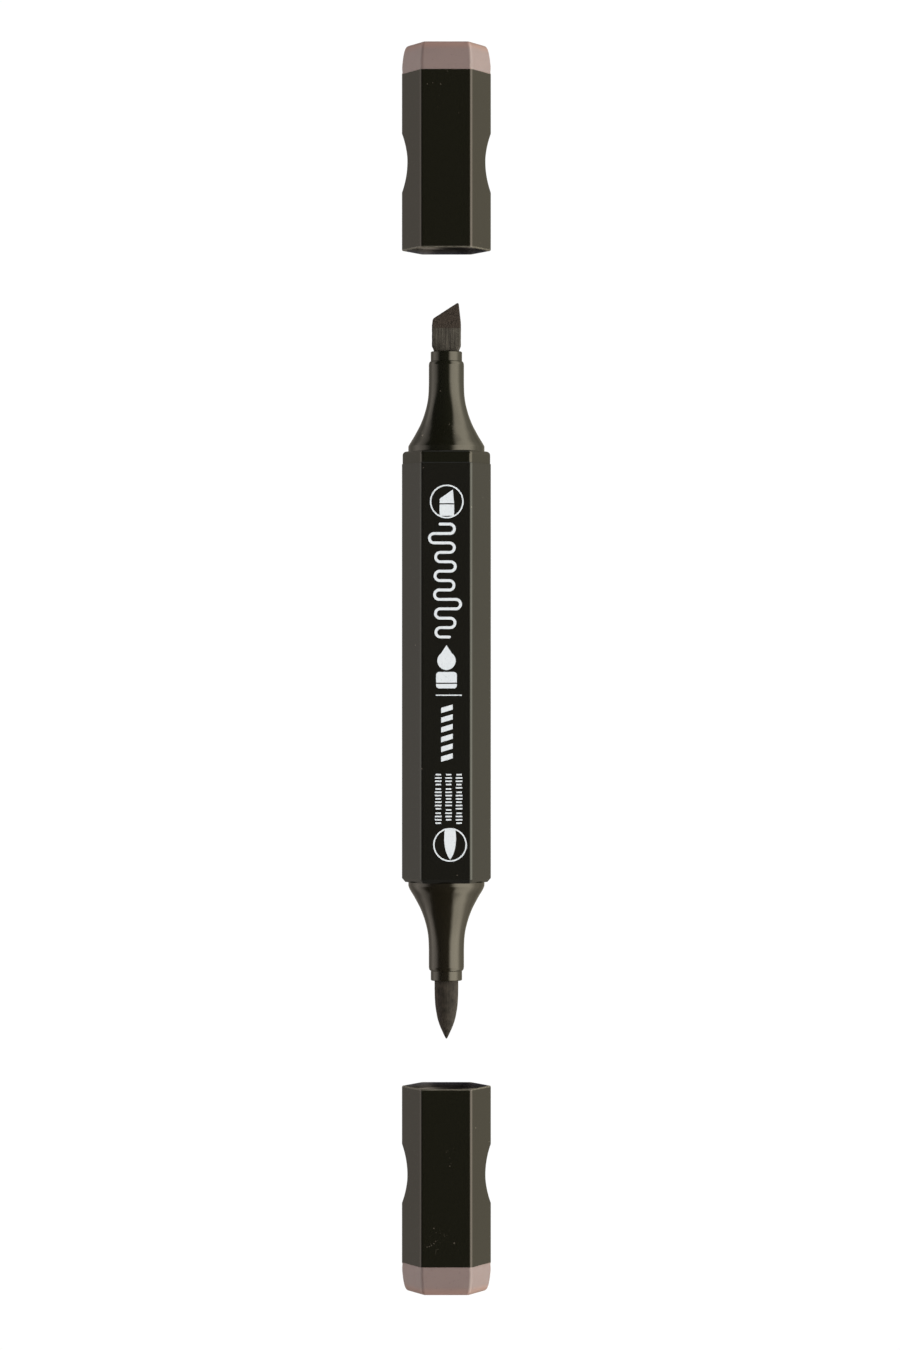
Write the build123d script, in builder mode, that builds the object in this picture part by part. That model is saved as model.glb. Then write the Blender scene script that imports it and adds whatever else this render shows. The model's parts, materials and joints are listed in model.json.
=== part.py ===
"""Twin-tip felt marker: a hexagonal barrel with a chisel nib at the top and a brush nib at
the bottom, each under its own pull-off cap.

Millimetres, +Z up along the marker. The marker is drawn uncapped and upright: the brush cap
stands on its closed end at z = 0, the barrel is above it, and the chisel cap is on top.
The printed face of the barrel looks along -Y. The long corner of the chisel is on the +X side.

In pairs of mirrored pieces, up is +1 at the chisel end and -1 at the brush end.
"""

import math
import os

from build123d import *

os.makedirs("parts", exist_ok=True)

# ---------------------------------------------------------------- stations along the marker
CAP_LENGTH = 36.45
BRUSH_CAP_MOUTH = CAP_LENGTH
BRUSH_SHOULDER = 72.05  # round rim of the brush holder, where its flare begins
BARREL_BOTTOM = 72.70
BARREL_TOP = 147.10
COLLAR_TOP = 149.30
CHISEL_SHOULDER = 150.20  # round rim of the chisel holder, where its flare begins
CHISEL_CAP_MOUTH = 185.00

# ---------------------------------------------------------------- hexagonal section
HALF_DEPTH = 7.15  # centre to the wide front and back flats
HALF_FRONT = 4.50  # half the width of the wide flats, at the sharp corners
HALF_WIDTH = 7.99  # centre to the sharp side corners
CORNER_R = 0.72

# ---------------------------------------------------------------- snap beads and their grooves
SNAP_CLEARANCE = 0.06  # groove radius over bead radius
BEAD_HALVES = (0.45, 0.30)  # half the height at the foot, at the crest
GROOVE_HALVES = (0.55, 0.38)  # half the height at the mouth, at the floor
LEAD_IN_R = 0.30  # taper on the leading end of a plug: radius and length
LEAD_IN_LENGTH = 0.60


# ================================================================ shared shapes
def save(part, name):
    part.label = name
    export_step(part, f"parts/{name}.step")


def hexagon_points(inset):
    """Corners of the section, with every flat moved inwards by inset."""
    side_run = HALF_WIDTH - HALF_FRONT
    side_length = math.hypot(HALF_DEPTH, side_run)
    normal_x, normal_y = HALF_DEPTH / side_length, side_run / side_length
    side_distance = normal_x * HALF_WIDTH - inset
    depth = HALF_DEPTH - inset
    corner_x = side_distance / normal_x
    front_x = (side_distance - normal_y * depth) / normal_x
    return [
        (-front_x, -depth),
        (front_x, -depth),
        (corner_x, 0.0),
        (front_x, depth),
        (-front_x, depth),
        (-corner_x, 0.0),
    ]


def hexagon(z, inset=0.0, corner=CORNER_R):
    """The rounded hexagonal section at height z."""
    with BuildSketch(Plane.XY.offset(z)) as section:
        with BuildLine():
            Polyline(*hexagon_points(inset), close=True)
        make_face()
        fillet(section.vertices(), corner)
    return section.sketch


def turned(outline):
    """A solid of revolution about Z from a closed outline of (radius, z) points. An entry that
    is a list of points is a smooth curve through them."""
    runs = [entry if isinstance(entry, list) else [entry] for entry in outline]
    with BuildPart() as body:
        with BuildSketch(Plane.XZ):
            with BuildLine():
                for run, next_run in zip(runs, runs[1:] + runs[:1]):
                    if len(run) > 1:
                        Spline(*run)
                    if run[-1] != next_run[0]:
                        Line(run[-1], next_run[0])
            make_face()
        revolve(axis=Axis.Z)
    return body.part


def snap_outline(base_r, crest_r, z, halves, up=1):
    """Outline of a bead or groove centred at z: base, crest, crest, base."""
    base_half, crest_half = halves
    return [
        (base_r, z - up * base_half),
        (crest_r, z - up * crest_half),
        (crest_r, z + up * crest_half),
        (base_r, z + up * base_half),
    ]


CHISEL_STEM_W = 4.40
CHISEL_STEM_T = 2.40
CHISEL_STEM_CORNER_R = 0.48


def chisel_stem(gap, z_low, z_high):
    """The stem of the chisel nib, grown by gap all round."""
    with BuildPart() as body:
        with BuildSketch(Plane.XY.offset(z_low)):
            RectangleRounded(
                CHISEL_STEM_W + 2 * gap, CHISEL_STEM_T + 2 * gap, CHISEL_STEM_CORNER_R + gap
            )
        extrude(amount=z_high - z_low)
    return body.part


# ================================================================ barrel
PLUG_LENGTH = 8.00  # part of a nib holder inside the barrel
SNAP_R = 6.10
SNAP_FROM_END = 5.20
BARREL_BORE_R = 6.00
SOCKET_DEPTH = PLUG_LENGTH + 2.0  # plain bore at each end, free of ribs
GROOVE_CUT_R = 5.50  # inner radius of the groove cutter, inside the bore
BOTTOM_CHAMFER = (0.70, 0.60)
TOP_CHAMFER = 0.10
RIB_COUNT = 6
RIB_REACH_R = 5.15  # the ribs hold the reservoir at this radius
RIB_LENGTH = 2.0
RIB_W = 0.80

with BuildPart() as barrel:
    extrude(hexagon(BARREL_BOTTOM), amount=BARREL_TOP - BARREL_BOTTOM)
    bottom_edges = barrel.faces().sort_by(Axis.Z)[0].edges()
    chamfer(bottom_edges, length=BOTTOM_CHAMFER[0], length2=BOTTOM_CHAMFER[1])
    # a small break on the edge that meets the collar
    chamfer(barrel.faces().sort_by(Axis.Z)[-1].edges(), length=TOP_CHAMFER)
    for end_z, inward in ((BARREL_BOTTOM, 1), (BARREL_TOP, -1)):
        with BuildSketch(Plane.XY.offset(end_z)):
            Circle(BARREL_BORE_R)
        extrude(amount=inward * SOCKET_DEPTH, mode=Mode.SUBTRACT)
    # middle of the bore, with the ribs left standing
    with BuildSketch(Plane.XY.offset(BARREL_BOTTOM + SOCKET_DEPTH)):
        Circle(BARREL_BORE_R)
        with PolarLocations(RIB_REACH_R + RIB_LENGTH / 2, RIB_COUNT):
            Rectangle(RIB_LENGTH, RIB_W, mode=Mode.SUBTRACT)
    extrude(amount=BARREL_TOP - BARREL_BOTTOM - 2.0 * SOCKET_DEPTH, mode=Mode.SUBTRACT)
    # grooves that the snap beads of the two holders click into
    for groove_z in (BARREL_BOTTOM + SNAP_FROM_END, BARREL_TOP - SNAP_FROM_END):
        groove = snap_outline(
            BARREL_BORE_R, SNAP_R + SNAP_CLEARANCE, groove_z, GROOVE_HALVES
        )
        low, high = groove[0][1], groove[-1][1]
        add(
            turned([(GROOVE_CUT_R, low), *groove, (GROOVE_CUT_R, high)]),
            mode=Mode.SUBTRACT,
        )
save(barrel.part, "barrel")

# ================================================================ nib holders
PLUG_R = 5.95
CAVITY_R = 5.20
RIM_R = 6.78
RIM_EDGE = 0.06  # the rim's straight side stops this far short of the shoulder
NECK_R = 3.13
RING_R = 2.79
# distances from the shoulder towards the nib
NECK_LENGTH = 14.50  # to the end of the straight neck
RING_START = 15.18
RING_END = 16.87
CONE_START = 5.80  # narrow end of the cone inside the flare
HOLE_START = 6.20
CUT_START = 5.00  # the nib slot and air channels are cut from here
CUT_END = RING_END + 1.0  # to past the end of the ring
CONE_NARROW_R = 2.75
CONE_WIDE_R = 4.60
CAVITY_TAPER_START = 0.60  # inside the barrel end
CAVITY_TAPER_END = 1.40  # outside the barrel end
# flare: distance from the shoulder, radius
FLARE = [
    (0.000, 6.775), (0.712, 6.380), (1.424, 5.940), (2.136, 5.530),
    (2.848, 5.145), (3.560, 4.770), (4.272, 4.450), (4.984, 4.174),
    (5.696, 3.925), (6.408, 3.720), (7.120, 3.530), (7.832, 3.380),
    (8.544, 3.270), (9.256, 3.200), (10.146, 3.155), (11.200, 3.130),
]
BRUSH_FLARE_SHIFT = 0.20  # the brush end keeps its full width a little longer
CHANNEL_W = 0.60  # air channels: across, and along the line through the axis
CHANNEL_DEPTH = 0.44


def holder_nose(shoulder, up, flare_shift):
    """Outside of the flare, neck and ring."""
    return [
        [(r, shoulder + up * (h + (flare_shift if h else 0.0))) for h, r in FLARE],
        (NECK_R, shoulder + up * NECK_LENGTH),
        (NECK_R - 0.06, shoulder + up * (NECK_LENGTH + 0.35)),
        (NECK_R - 0.16, shoulder + up * (NECK_LENGTH + 0.54)),
        (RING_R, shoulder + up * RING_START),
        (RING_R, shoulder + up * (RING_END - 0.12)),
        (RING_R - 0.12, shoulder + up * RING_END),
    ]


def holder_plug(face, up):
    """Plug that is pushed into the barrel, from its inner end to the face on the barrel end."""
    end = face - up * PLUG_LENGTH
    bead = face - up * SNAP_FROM_END
    return [
        (CAVITY_R, end),
        (PLUG_R - LEAD_IN_R, end),
        (PLUG_R, end + up * LEAD_IN_LENGTH),
        *snap_outline(PLUG_R, SNAP_R, bead, BEAD_HALVES, up),
        (PLUG_R, face),
    ]


def holder_inside(face, shoulder, up, hole_r):
    """Inside of the holder, from the end of the ring back to the plug."""
    return [
        (hole_r, shoulder + up * RING_END),
        (hole_r, shoulder + up * HOLE_START),
        (CONE_NARROW_R, shoulder + up * CONE_START),
        (CONE_WIDE_R, face + up * CAVITY_TAPER_END),
        (CAVITY_R, face - up * CAVITY_TAPER_START),
    ]


# ---------------------------------------------------------------- chisel nib holder
COLLAR_INSET = 0.09
COLLAR_CORNER_R = 0.85
COLLAR_TOP_FILLET = 0.70
COLLAR_HOLE_R = PLUG_R - 0.3
COLLAR_HOLE_CUT = 5.0
RIM_STEP = 0.50  # barrel end to the underside of the wide rim, inside the collar
CHISEL_PILOT_R = 1.00  # round hole that the slot is cut over
CHISEL_SLOT_GAP = 0.04
CHISEL_CHANNEL_Y = CHISEL_STEM_T / 2 + 0.14

with BuildPart() as chisel_nib_holder:
    add(
        turned(
            holder_plug(BARREL_TOP, 1)
            + [
                (PLUG_R, BARREL_TOP + RIM_STEP),
                (RIM_R, BARREL_TOP + RIM_STEP),
                (RIM_R, CHISEL_SHOULDER - RIM_EDGE),
            ]
            + holder_nose(CHISEL_SHOULDER, 1, 0.0)
            + holder_inside(BARREL_TOP, CHISEL_SHOULDER, 1, CHISEL_PILOT_R)
        )
    )
    # hexagonal collar, slightly narrower than the barrel
    with BuildPart(mode=Mode.PRIVATE) as collar:
        extrude(
            hexagon(BARREL_TOP, COLLAR_INSET, COLLAR_CORNER_R),
            amount=COLLAR_TOP - BARREL_TOP,
        )
        fillet(collar.faces().sort_by(Axis.Z)[-1].edges(), COLLAR_TOP_FILLET)
        with BuildSketch(Plane.XY.offset(BARREL_TOP)):
            Circle(COLLAR_HOLE_R)
        extrude(amount=COLLAR_HOLE_CUT, mode=Mode.SUBTRACT)
    add(collar.part)
    # slot for the nib
    add(
        chisel_stem(CHISEL_SLOT_GAP, CHISEL_SHOULDER + CUT_START, CHISEL_SHOULDER + CUT_END),
        mode=Mode.SUBTRACT,
    )
    # two air channels, in front of and behind the nib
    for side in (-1, 1):
        with BuildSketch(Plane.XY.offset(CHISEL_SHOULDER + CUT_START)):
            with Locations((0, side * CHISEL_CHANNEL_Y)):
                Rectangle(CHANNEL_W, CHANNEL_DEPTH)
        extrude(amount=CUT_END - CUT_START, mode=Mode.SUBTRACT)
save(chisel_nib_holder.part, "chisel_nib_holder")

# ---------------------------------------------------------------- brush nib holder
BRUSH_STEM_R = 2.11
BRUSH_HOLE_R = BRUSH_STEM_R + 0.05
BRUSH_CHANNEL_X = BRUSH_HOLE_R + 0.08

with BuildPart() as brush_nib_holder:
    add(
        turned(
            holder_plug(BARREL_BOTTOM, -1)
            + [
                (RIM_R, BARREL_BOTTOM),
                (RIM_R, BRUSH_SHOULDER + RIM_EDGE),
            ]
            + holder_nose(BRUSH_SHOULDER, -1, BRUSH_FLARE_SHIFT)
            + holder_inside(BARREL_BOTTOM, BRUSH_SHOULDER, -1, BRUSH_HOLE_R)
        )
    )
    # two air channels, left and right of the nib
    for side in (-1, 1):
        with BuildSketch(Plane.XY.offset(BRUSH_SHOULDER - CUT_START)):
            with Locations((side * BRUSH_CHANNEL_X, 0)):
                Rectangle(CHANNEL_DEPTH, CHANNEL_W)
        extrude(amount=-(CUT_END - CUT_START), mode=Mode.SUBTRACT)
save(brush_nib_holder.part, "brush_nib_holder")

# ================================================================ chisel nib
CHISEL_SEAT = CHISEL_SHOULDER + RING_END  # end of the ring
CHISEL_T = 3.00
CHISEL_LOW_CORNER = 173.00
CHISEL_TIP = 175.70
CHISEL_BEVEL = 171.12  # where the front and back bevels begin
CHISEL_TAIL = 141.60
STEM_OVERLAP = 0.50  # the stem runs this far into the head
# head seen from the front: x, z
CHISEL_HEAD = [
    (-2.22, CHISEL_SEAT + 0.04),
    (2.24, CHISEL_SEAT + 0.04),
    (2.58, CHISEL_SEAT + 1.10),
    (2.60, CHISEL_SEAT + 4.60),
    (2.56, CHISEL_SEAT + 5.30),
    (2.20, CHISEL_TIP - 0.08),
    (1.86, CHISEL_TIP),
    (-2.14, CHISEL_LOW_CORNER + 0.06),
    (-2.44, CHISEL_LOW_CORNER - 0.28),
    (-2.58, CHISEL_SEAT + 4.60),
    (-2.58, CHISEL_SEAT + 1.10),
]
# wedge cut off the +Y side of the head: y, z
BEVEL_CUT = [
    (CHISEL_T / 2, CHISEL_BEVEL),
    (CHISEL_T / 2 + 1.0, CHISEL_BEVEL),
    (CHISEL_T / 2 + 1.0, CHISEL_TIP + 1.0),
    (0.62, CHISEL_TIP + 0.6),
]
BEVEL_CUT_HALF = 6.0

with BuildPart() as chisel_nib:
    with BuildSketch(Plane.XZ):
        with BuildLine():
            Polyline(*CHISEL_HEAD, close=True)
        make_face()
    extrude(amount=CHISEL_T / 2, both=True)
    # bevel on the front and back of the writing edge
    for side in (-1, 1):
        with BuildSketch(Plane.YZ):
            with BuildLine():
                Polyline(*[(side * y, z) for y, z in BEVEL_CUT], close=True)
            make_face()
        extrude(amount=BEVEL_CUT_HALF, both=True, mode=Mode.SUBTRACT)
    # stem that runs through the holder into the reservoir
    add(chisel_stem(0.0, CHISEL_TAIL, CHISEL_SEAT + STEM_OVERLAP))
save(chisel_nib.part, "chisel_nib")

# ================================================================ brush nib
BRUSH_SEAT = BRUSH_SHOULDER - RING_END  # end of the ring
BRUSH_TIP = 44.80
BRUSH_TAIL = 80.40
# curve of the head, down to just above the tip: radius, z
BRUSH_HEAD = [
    (BRUSH_STEM_R, BRUSH_SEAT - 1.60),
    (2.085, 52.40), (2.045, 51.67), (2.000, 50.96), (1.920, 50.25),
    (1.805, 49.54), (1.675, 48.82), (1.505, 48.11), (1.270, 47.40),
    (0.995, 46.69), (0.670, 45.98), (0.310, 45.22),
    (0.130, BRUSH_TIP + 0.06),
]

brush_nib = turned(
    [
        (0.0, BRUSH_TAIL),
        (BRUSH_STEM_R - 0.25, BRUSH_TAIL),
        (BRUSH_STEM_R, BRUSH_TAIL - 0.60),
        (BRUSH_STEM_R, BRUSH_SEAT - 0.10),
        BRUSH_HEAD,
        (0.0, BRUSH_TIP),
    ]
)
save(brush_nib, "brush_nib")

# ================================================================ ink reservoir and its film
RESERVOIR_R = 4.90
RESERVOIR_Z0 = 76.00
RESERVOIR_Z1 = 146.00
RESERVOIR_CHAMFER = 0.25
STEM_GAP = 0.03  # around the nib stems
TAIL_GAP = 0.05  # beyond the ends of the nib stems
END_CUT = 1.0  # the stem holes are cut from this far outside the reservoir
FILM_R_IN = 4.94
FILM_R_OUT = 5.08
FILM_OVERHANG = 0.20  # past each end of the reservoir

with BuildPart() as ink_reservoir:
    with BuildSketch(Plane.XY.offset(RESERVOIR_Z0)):
        Circle(RESERVOIR_R)
    extrude(amount=RESERVOIR_Z1 - RESERVOIR_Z0)
    chamfer(ink_reservoir.edges().filter_by(GeomType.CIRCLE), RESERVOIR_CHAMFER)
    add(
        chisel_stem(STEM_GAP, CHISEL_TAIL - TAIL_GAP, RESERVOIR_Z1 + END_CUT),
        mode=Mode.SUBTRACT,
    )
    with BuildSketch(Plane.XY.offset(RESERVOIR_Z0 - END_CUT)):
        Circle(BRUSH_STEM_R + STEM_GAP)
    extrude(amount=BRUSH_TAIL + TAIL_GAP - RESERVOIR_Z0 + END_CUT, mode=Mode.SUBTRACT)
save(ink_reservoir.part, "ink_reservoir")

with BuildPart() as reservoir_film:
    with BuildSketch(Plane.XY.offset(RESERVOIR_Z0 - FILM_OVERHANG)):
        Circle(FILM_R_OUT)
        Circle(FILM_R_IN, mode=Mode.SUBTRACT)
    extrude(amount=RESERVOIR_Z1 - RESERVOIR_Z0 + 2 * FILM_OVERHANG)
save(reservoir_film.part, "reservoir_film")

# ================================================================ caps
# Depths are measured from the mouth of the cap towards its closed end.
CAP_SEAM = 31.45  # the coloured end plug starts here
CAP_RIM_FILLET = 0.24
MOUTH_WALL = 0.29  # wall at the flats of the mouth
MOUTH_CORNER_R = 4.20  # the mouth is a much rounder hexagon than the outside
MOUTH_DEPTH = 0.90
MOUTH_CUT = 1.0  # the mouth is cut from this far outside
CAP_BORE_R = 6.10
CAP_CONE_R = 6.84
CAP_CONE_START = 0.50  # the cutter starts here, inside the mouth
CAP_CONE_END = 3.10
CAP_BORE_END = CAP_SEAM + 1.0
SCOOP_DEPTH_AT = 15.62  # depth of the scoop's centre
SCOOP_R = 14.60
SCOOP_FLOOR_X = 6.923  # centre axis to the deepest point of a scoop
SCOOP_CUT_HALF = 12.0
CAP_SNAP_R = 6.20
CAP_SNAP_AT = 29.10
SPIGOT_R = 6.06
SPIGOT_START = 27.40
SPIGOT_END = CAP_SEAM + 0.50
SPIGOT_BORE_R = 5.00
PLUG_SHOULDER = 31.20
PLUG_CORE_R = 4.30
PLUG_CORE_END = 34.40
SEAL_LIP = 12.00
SEAL_R_IN = 3.19
SEAL_R_OUT = 3.96
SEAL_FLOOR = 29.20
SEAL_FLANGE_R = 4.96
SEAL_END = PLUG_SHOULDER - 0.02
SEAL_RECESS = PLUG_SHOULDER - 0.60

# end plug: height above the end face, inset of the section
PLUG_INSET = [
    (5.00, 0.00), (4.00, 0.03), (3.00, 0.09), (2.10, 0.19), (1.40, 0.30),
    (0.80, 0.44), (0.40, 0.60), (0.14, 0.79), (0.00, 1.00),
]
# The outlines below are radius, depth.
# cone in to the bore, with a groove for the end plug
CAP_BORE = [
    (0.0, CAP_CONE_START),
    (CAP_CONE_R, CAP_CONE_START),
    (CAP_CONE_R, MOUTH_DEPTH),
    (CAP_BORE_R, CAP_CONE_END),
    *snap_outline(CAP_BORE_R, CAP_SNAP_R + SNAP_CLEARANCE, CAP_SNAP_AT, GROOVE_HALVES),
    (CAP_BORE_R, CAP_BORE_END),
    (0.0, CAP_BORE_END),
]
# hollow spigot with a snap bead
SPIGOT = [
    (SPIGOT_BORE_R, SPIGOT_START),
    (SPIGOT_R - LEAD_IN_R, SPIGOT_START),
    (SPIGOT_R, SPIGOT_START + LEAD_IN_LENGTH),
    *snap_outline(SPIGOT_R, CAP_SNAP_R, CAP_SNAP_AT, BEAD_HALVES),
    (SPIGOT_R, SPIGOT_END),
    (SPIGOT_BORE_R, SPIGOT_END),
]
# hollow inside the spigot and the plug
PLUG_CORE = [
    (0.0, SPIGOT_START - 1.0),
    (SPIGOT_BORE_R, SPIGOT_START - 1.0),
    (SPIGOT_BORE_R, PLUG_SHOULDER),
    (PLUG_CORE_R, PLUG_SHOULDER),
    (PLUG_CORE_R - 0.10, PLUG_CORE_END),
    (0.0, PLUG_CORE_END),
]
# soft cup that closes around the neck when the cap is on
INNER_SEAL = [
    (SEAL_R_IN + 0.30, SEAL_LIP),
    (SEAL_R_OUT - 0.15, SEAL_LIP),
    (SEAL_R_OUT, SEAL_LIP + 0.40),
    (SEAL_R_OUT, 29.60),
    (SEAL_FLANGE_R, 30.00),
    (SEAL_FLANGE_R, SEAL_END),
    (PLUG_CORE_R - 0.30, SEAL_END),
    (PLUG_CORE_R - 0.50, SEAL_RECESS),
    (0.0, SEAL_RECESS),
    (0.0, SEAL_FLOOR),
    (SEAL_R_IN - 0.40, SEAL_FLOOR),
    (SEAL_R_IN, SEAL_FLOOR - 0.40),
    (SEAL_R_IN, SEAL_LIP + 0.70),
]


def turned_in_cap(mouth, up, outline):
    """A turned solid from (radius, depth) points in the cap whose mouth is at this height."""
    return turned([(radius, mouth + up * depth) for radius, depth in outline])


def cap_shell(mouth, up):
    with BuildPart() as shell:
        extrude(hexagon(min(mouth, mouth + up * CAP_SEAM)), amount=CAP_SEAM)
        rim = shell.faces().sort_by(Axis.Z)[0 if up > 0 else -1]
        fillet(rim.edges(), CAP_RIM_FILLET)
        # finger scoops across the two side corners
        for side in (-1, 1):
            with BuildSketch(Plane.XZ):
                with Locations((side * (SCOOP_FLOOR_X + SCOOP_R), mouth + up * SCOOP_DEPTH_AT)):
                    Circle(SCOOP_R)
            extrude(amount=SCOOP_CUT_HALF, both=True, mode=Mode.SUBTRACT)
        # rounded mouth that fits over the rim of the holder
        with BuildPart(mode=Mode.PRIVATE) as opening:
            low = min(mouth - up * MOUTH_CUT, mouth + up * MOUTH_DEPTH)
            extrude(hexagon(low, MOUTH_WALL, MOUTH_CORNER_R), amount=MOUTH_DEPTH + MOUTH_CUT)
        add(opening.part, mode=Mode.SUBTRACT)
        add(turned_in_cap(mouth, up, CAP_BORE), mode=Mode.SUBTRACT)
    return shell.part


def cap_end_plug(mouth, up):
    with BuildPart() as plug:
        for height, inset in PLUG_INSET:
            z = mouth + up * (CAP_LENGTH - height)
            add(hexagon(z, inset, CORNER_R - 0.2 * inset))
        loft()
        add(turned_in_cap(mouth, up, SPIGOT))
        add(turned_in_cap(mouth, up, PLUG_CORE), mode=Mode.SUBTRACT)
    return plug.part


for end_name, mouth_z, up_sign in (
    ("chisel", CHISEL_CAP_MOUTH, 1),
    ("brush", BRUSH_CAP_MOUTH, -1),
):
    save(cap_shell(mouth_z, up_sign), f"{end_name}_cap_shell")
    save(cap_end_plug(mouth_z, up_sign), f"{end_name}_cap_end_plug")
    save(turned_in_cap(mouth_z, up_sign, INNER_SEAL), f"{end_name}_cap_inner_seal")

# ================================================================ print on the front flat
# Sketch x runs along +X from the middle of the print; sketch y is the height z.
INK = 0.030  # thickness of the print
PRINT_X = 0.12
FRONT = Plane(origin=(PRINT_X, -HALF_DEPTH, 0), x_dir=(1, 0, 0), z_dir=(0, -1, 0))


# ---------------------------------------------------------------- nib pictograms in rings
ICON_RING_R = 2.85  # to the middle of the line
ICON_RING_LINE = 0.25
CHISEL_ICON = (-0.05, 140.14)
BRUSH_ICON = (0.53, 79.57)
# outlines from the centre of the ring: x, z
CHISEL_ICON_BODY = [(-1.26, -2.54), (1.30, -2.52), (1.30, -0.52), (-1.26, -0.52)]
CHISEL_ICON_TIP = [(-1.26, -0.30), (1.30, -0.30), (1.08, 2.12), (-1.26, 0.46)]
BRUSH_ICON_LEFT = [(-0.92, 2.70), (-1.03, 1.40), (-0.96, 0.00), (-0.64, -1.40), (0.00, -2.62)]
BRUSH_ICON_RIGHT = [(0.00, -2.62), (0.66, -1.40), (0.98, 0.00), (1.05, 1.40), (0.92, 2.70)]


def shifted(points, centre):
    return [(centre[0] + x, centre[1] + z) for x, z in points]


def icon_ring(centre):
    with BuildPart() as ring:
        with BuildSketch(FRONT):
            with Locations(centre):
                Circle(ICON_RING_R + ICON_RING_LINE / 2)
                Circle(ICON_RING_R - ICON_RING_LINE / 2, mode=Mode.SUBTRACT)
        extrude(amount=INK)
    return ring.part


with BuildPart() as chisel_tip_icon:
    add(icon_ring(CHISEL_ICON))
    with BuildSketch(FRONT):
        for icon_outline in (CHISEL_ICON_BODY, CHISEL_ICON_TIP):
            with BuildLine():
                Polyline(*shifted(icon_outline, CHISEL_ICON), close=True)
            make_face()
    extrude(amount=INK)
save(chisel_tip_icon.part, "chisel_tip_icon")

with BuildPart() as brush_tip_icon:
    add(icon_ring(BRUSH_ICON))
    with BuildSketch(FRONT):
        left_side = shifted(BRUSH_ICON_LEFT, BRUSH_ICON)
        right_side = shifted(BRUSH_ICON_RIGHT, BRUSH_ICON)
        with BuildLine():
            Spline(*left_side)
            Spline(*right_side)
            Line(right_side[-1], left_side[0])
        make_face()
    extrude(amount=INK)
save(brush_tip_icon.part, "brush_tip_icon")

# ---------------------------------------------------------------- winding stroke
STROKE_TOP = 136.15
STROKE_PITCH = 3.32  # height of one full wave, two rows
STROKE_HALF = 0.245  # half the width of the line
STROKE_X = -0.33
STROKE_START = -0.90  # from STROKE_X
STROKE_END = 0.75  # from STROKE_X, in the direction of the last row
# where each turn reaches from STROKE_X, right and left in turn
STROKE_TURNS = [0.80, -1.95, 0.78, -0.85, 0.95, -0.95, 0.72, -1.05, 1.88, -0.88, 0.90, -0.80]


def stroke_outline():
    """Edges of the stroke in order: two points for a line, three for an arc."""
    rows = len(STROKE_TURNS) + 1
    turn_r = STROKE_PITCH / 4
    heights = [STROKE_TOP - 2 * turn_r * row for row in range(rows)]
    ways = [1 if row % 2 == 0 else -1 for row in range(rows)]  # +1 runs to the right
    turns = [STROKE_X + turn for turn in STROKE_TURNS]
    start = STROKE_X + STROKE_START
    end = STROKE_X + STROKE_END * ways[-1]
    row_ends = [start] + turns + [end]

    def side_edges(side):
        """One side of the line from start to end: +1 is left of the pen's travel."""
        edges = []
        for row in range(rows):
            offset = side * ways[row] * STROKE_HALF
            z = heights[row] + offset
            edges.append(((row_ends[row], z), (row_ends[row + 1], z)))
            if row < rows - 1:
                turn = turns[row]
                middle_x = turn + ways[row] * turn_r + side * STROKE_HALF
                edges.append(
                    (
                        (turn, z),
                        (middle_x, heights[row] - turn_r),
                        (turn, heights[row + 1] - offset),
                    )
                )
        return edges

    def round_end(x, z, way):
        reach = way * STROKE_HALF
        return ((x, z + reach), (x + reach, z), (x, z - reach))

    return (
        side_edges(1)
        + [round_end(end, heights[-1], ways[-1])]
        + [edge[::-1] for edge in reversed(side_edges(-1))]
        + [round_end(start, heights[0], -1)]
    )


# as if tried out with the pen
with BuildPart() as printed_stroke:
    with BuildSketch(FRONT):
        with BuildLine():
            for edge in stroke_outline():
                if len(edge) == 2:
                    Line(*edge)
                else:
                    ThreePointArc(*edge)
        make_face()
    extrude(amount=INK)
save(printed_stroke.part, "printed_stroke")

# ---------------------------------------------------------------- ink drop and rounded tile
DROP = (-0.10, 112.05)
DROP_R = 1.62
DROP_POINT = [(-1.58, 0.36), (0.0, 2.75), (1.58, 0.36)]  # x, z from the centre of the drop
TILE = (-0.10, 108.62)
TILE_SIZE = (3.66, 2.90)
TILE_CORNER_R = 0.55
TILE_GAP_DROP = 0.55  # the gap across the tile lies this far below its centre
TILE_GAP_SIZE = (4.00, 0.22)

with BuildPart() as ink_drop_and_tile:
    with BuildSketch(FRONT):
        with Locations(DROP):
            Circle(DROP_R)
        with BuildLine():
            Polyline(*shifted(DROP_POINT, DROP), close=True)
        make_face()
    extrude(amount=INK)
    with BuildSketch(FRONT):
        with Locations(TILE):
            RectangleRounded(*TILE_SIZE, TILE_CORNER_R)
        with Locations((TILE[0], TILE[1] - TILE_GAP_DROP)):
            Rectangle(*TILE_GAP_SIZE, mode=Mode.SUBTRACT)
    extrude(amount=INK)
save(ink_drop_and_tile.part, "ink_drop_and_tile")

# ---------------------------------------------------------------- divider line
DIVIDER = (0.32, 105.97)
DIVIDER_SIZE = (4.58, 0.20)

with BuildPart() as divider_line:
    with BuildSketch(FRONT):
        with Locations(DIVIDER):
            Rectangle(*DIVIDER_SIZE)
    extrude(amount=INK)
save(divider_line.part, "divider_line")

# ---------------------------------------------------------------- row of slanted bars
BAR_COUNT = 6
BAR_PITCH = 1.72
BAR_TOP = 104.35
BAR_LEFT = -1.04
BAR_RIGHT = 1.00
BAR_H = 0.92  # measured upright
BAR_RISE = 0.62  # from left to right

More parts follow.
